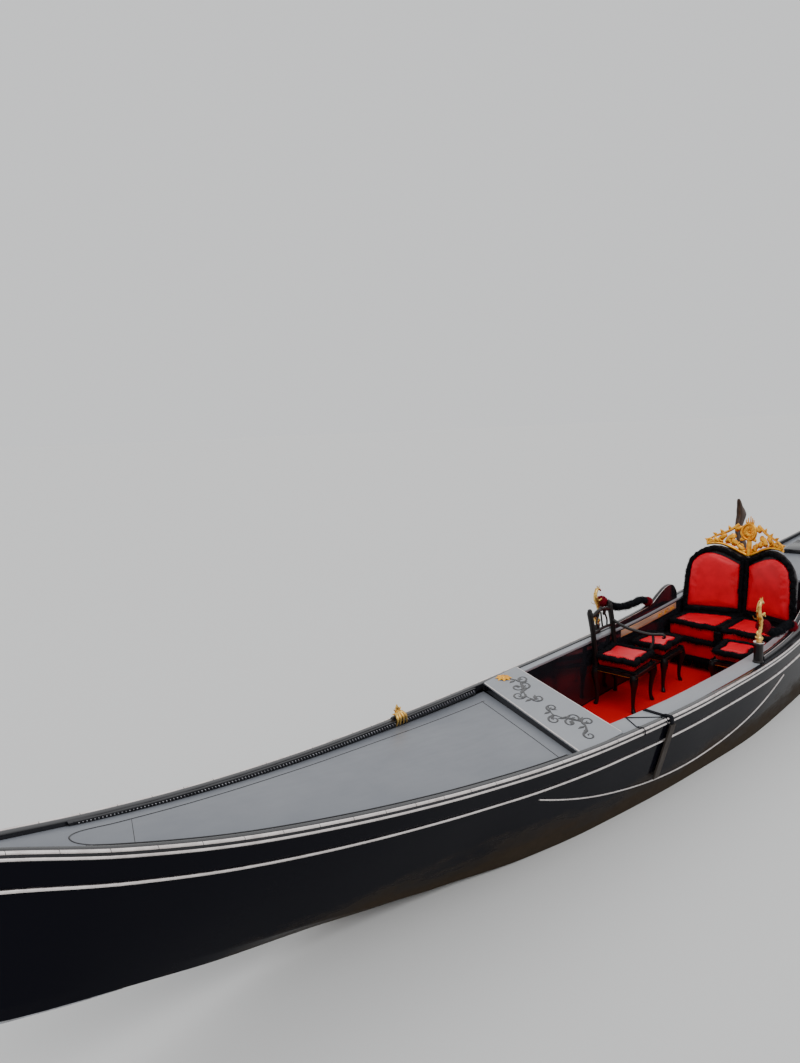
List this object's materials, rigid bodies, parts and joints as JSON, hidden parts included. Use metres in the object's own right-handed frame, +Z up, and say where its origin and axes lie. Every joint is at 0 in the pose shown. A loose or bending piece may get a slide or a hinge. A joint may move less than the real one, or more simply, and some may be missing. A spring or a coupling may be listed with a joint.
{
  "type": "gondola",
  "caption": "Long narrow flat-bottomed rowing boat for passengers, with upswept ends, a steel bow comb, decks fore and aft, a padded sofa and stools in the well, and a lift-out rowlock.",
  "frame": {"origin": "on the underside of the flat bottom, under the middle of the hull's length, on the line of the stem and the sternpost", "axes": "+X towards the bow, +Y to port, +Z up"},
  "size_m": [10.779, 1.3767, 1.69],
  "materials": {
    "lacquer": "glossy black lacquer",
    "deck_gloss": "glossy black lacquer with worn reflections",
    "bottom_paint": "dark waterline paint",
    "strake_paint": "worn pale edge on black lacquer",
    "iron": "polished steel",
    "brass": "polished brass",
    "gilt": "gilded carving",
    "satin": "red satin with black fringe",
    "walnut": "dark oiled walnut",
    "carpet": "cut pile",
    "floor_wood": "dark matt boards",
    "rubber": "weathered rubber",
    "rope_wool": "black twisted wool",
    "tuft_wool": "red wool"
  },
  "bodies": {
    "hull": {"side_planking_port_stern": "lacquer", "side_planking_port_aft": "lacquer", "side_planking_port_fore": "lacquer", "side_planking_port_bow": "lacquer", "side_planking_starboard_stern": "lacquer", "side_planking_starboard_aft": "lacquer", "side_planking_starboard_fore": "lacquer", "side_planking_starboard_bow": "lacquer", "gunwale_rail_port": "lacquer", "gunwale_rail_starboard": "lacquer", "stem_head": "lacquer", "stern_head": "lacquer", "foredeck_moulding_port": "lacquer", "foredeck_moulding_starboard": "lacquer", "bow_bulkhead": "lacquer", "stern_bulkhead": "lacquer", "coaming_port": "lacquer", "coaming_starboard": "lacquer", "armrest_board_port": "lacquer", "armrest_board_starboard": "lacquer", "rower_footboard": "lacquer", "foredeck": "deck_gloss", "stern_deck": "deck_gloss", "foredeck_panel": "deck_gloss", "bow_thwart": "deck_gloss", "side_deck_port": "deck_gloss", "side_deck_starboard": "deck_gloss", "hull_bottom": "bottom_paint", "rub_strake_port": "strake_paint", "rub_strake_starboard": "strake_paint", "lower_strake_port": "strake_paint", "lower_strake_starboard": "strake_paint", "bow_iron": "iron", "stern_iron": "iron", "deck_claw": "brass", "sea_horse_port": "brass", "sea_horse_starboard": "brass", "sofa_crest": "gilt", "sofa_base": "satin", "sofa_seat_port": "satin", "sofa_seat_starboard": "satin", "sofa_back": "satin", "armchair_cushion": "satin", "stool_port_cushion": "satin", "stool_starboard_cushion": "satin", "armchair_frame": "walnut", "stool_port_frame": "walnut", "stool_starboard_frame": "walnut", "rowlock_block": "walnut", "carpet": "carpet", "floorboards": "floor_wood", "fender_strip": "rubber", "fender_strap": "rope_wool", "hand_rope_port": "rope_wool", "hand_rope_starboard": "rope_wool", "rope_tuft_fore_port": "tuft_wool", "rope_tuft_fore_starboard": "tuft_wool", "rope_tuft_aft_port": "tuft_wool", "rope_tuft_aft_starboard": "tuft_wool"},
    "rowlock": {"rowlock": "walnut"}
  },
  "joints": [
    {"name": "rowlock_lift", "type": "slide", "parent": "hull", "child": "rowlock", "axis": [0, 0, 1], "range_m": [0, 0.35]}
  ]
}
